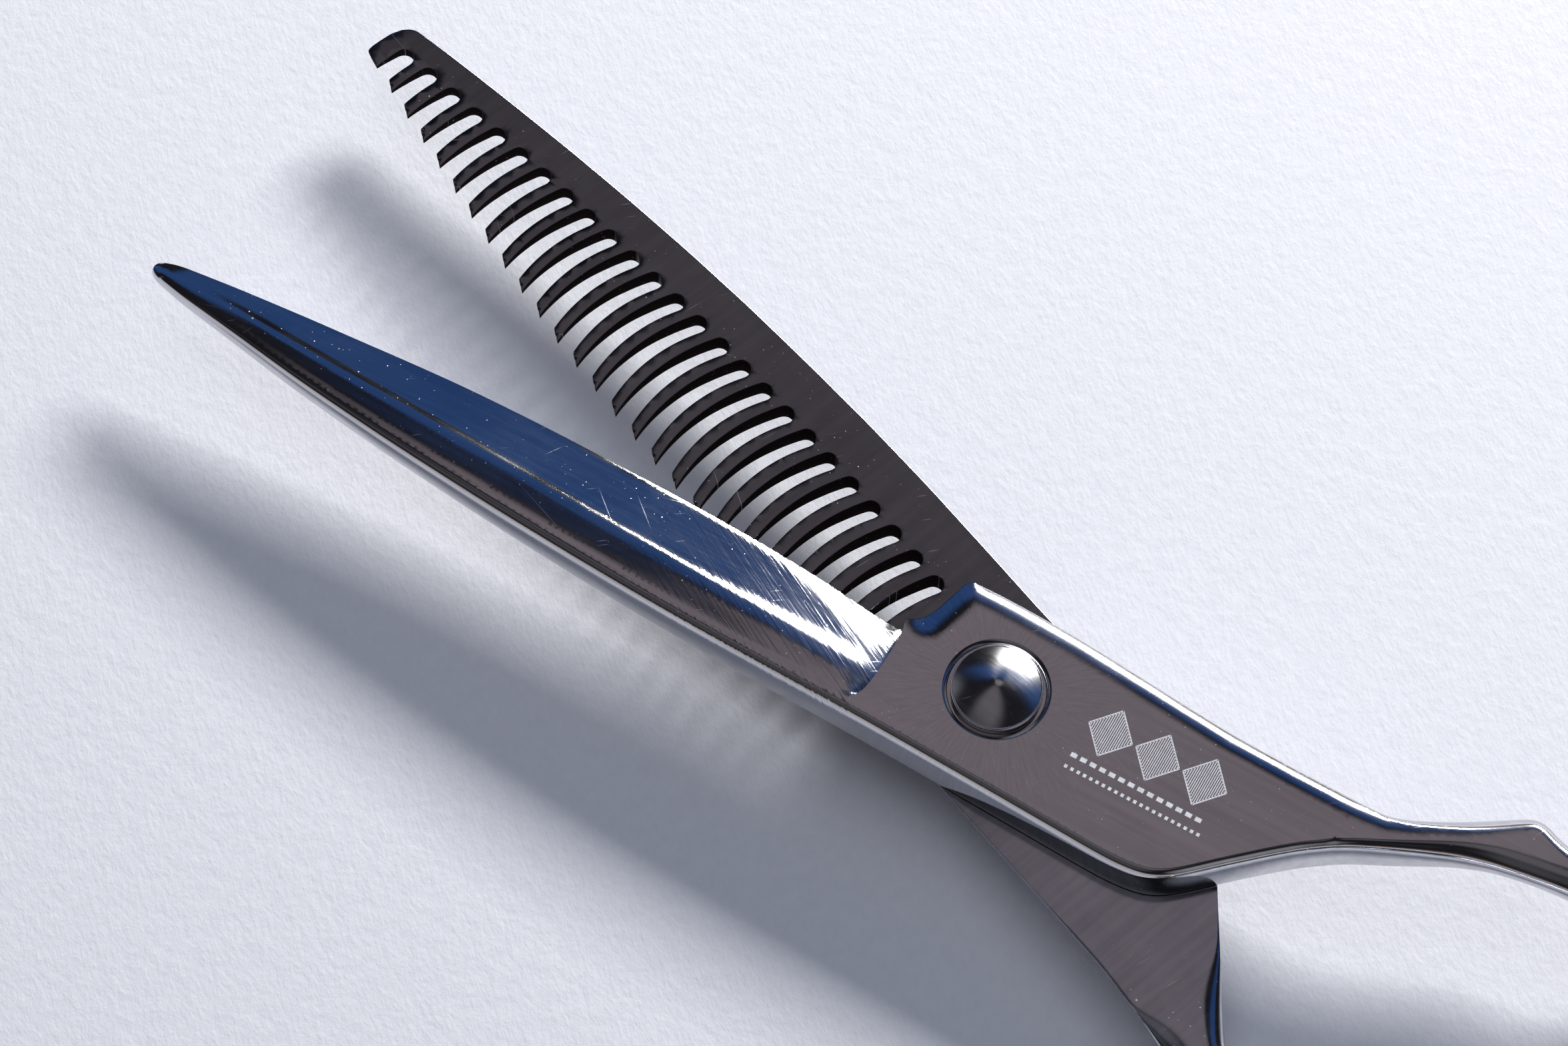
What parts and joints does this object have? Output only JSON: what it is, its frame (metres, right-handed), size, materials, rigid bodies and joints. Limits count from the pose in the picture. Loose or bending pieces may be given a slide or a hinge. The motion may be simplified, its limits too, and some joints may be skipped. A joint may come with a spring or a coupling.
{
  "type": "thinning shears",
  "caption": "Hairdressing thinning shears with one plain blade, one comb-toothed blade, offset finger rings, a domed pivot screw and a rear tension dial, part open.",
  "frame": {"origin": "on the pivot axis, at the flat underside of the tension dial, which rests on the table", "axes": "+Z along the pivot axis out of the front face, +X towards the blade tips along the bisector of the two blades as stored, +Y towards the thumb ring's side"},
  "size_m": [0.1545, 0.0922, 0.0095],
  "materials": {
    "front_steel": "mirror polished, blue-black reflections",
    "rear_steel": "fine ground inner face, polished outside",
    "screw_steel": "mirror polished",
    "washer_polymer": "smooth",
    "bush_bronze": "turned",
    "spring_steel": "satin",
    "dial_steel": "polished, fluted rim",
    "ball_steel": "polished",
    "rest_steel": "mirror polished",
    "rubber": "soft matte"
  },
  "bodies": {
    "front_half": {"plain_blade_half": "front_steel", "pivot_screw": "screw_steel", "disc_spring": "spring_steel", "click_plate": "spring_steel", "dial_retaining_screw": "screw_steel", "finger_rest": "rest_steel", "finger_rest_washer": "rubber"},
    "comb_half": {"comb_blade_half": "rear_steel", "pivot_bush": "bush_bronze", "ride_washer": "washer_polymer", "glide_washer": "washer_polymer", "bumper": "rubber"},
    "tension_dial": {"tension_dial": "dial_steel", "dial_balls": "ball_steel"}
  },
  "joints": [
    {"name": "main_pivot", "type": "hinge", "parent": "front_half", "child": "comb_half", "pos_m": [0, 0, 0.0053], "axis": [0, 0, -1], "range_deg": [-19.7, 45]},
    {"name": "dial_turn", "type": "hinge", "parent": "front_half", "child": "tension_dial", "pos_m": [0, 0, 0.001], "axis": [0, 0, 1], "range_deg": [-45, 45]}
  ]
}
